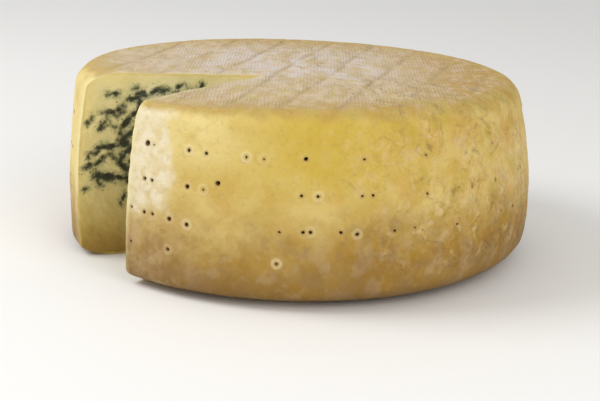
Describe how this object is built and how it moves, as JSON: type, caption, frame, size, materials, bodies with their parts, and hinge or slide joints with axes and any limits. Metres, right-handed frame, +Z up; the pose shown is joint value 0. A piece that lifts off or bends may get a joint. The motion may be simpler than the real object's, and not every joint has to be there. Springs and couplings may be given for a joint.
{
  "type": "blue cheese wheel",
  "caption": "Round wheel of blue-veined cheese with a mottled natural rind, needle holes round its side and a thin wedge cut out.",
  "frame": {"origin": "on the wheel's axis, at the middle of its flat base", "axes": "+Z up through the wheel; the gap that the wedge left opens towards -Y, and +X is to the right of someone who looks into it"},
  "size_m": [0.2911, 0.2884, 0.1136],
  "materials": {
    "rind": "dry matt ochre rind; the cut faces are moist ivory paste with blue-green veins"
  },
  "bodies": {
    "root": {"cheese_wheel": "rind"}
  },
  "joints": []
}
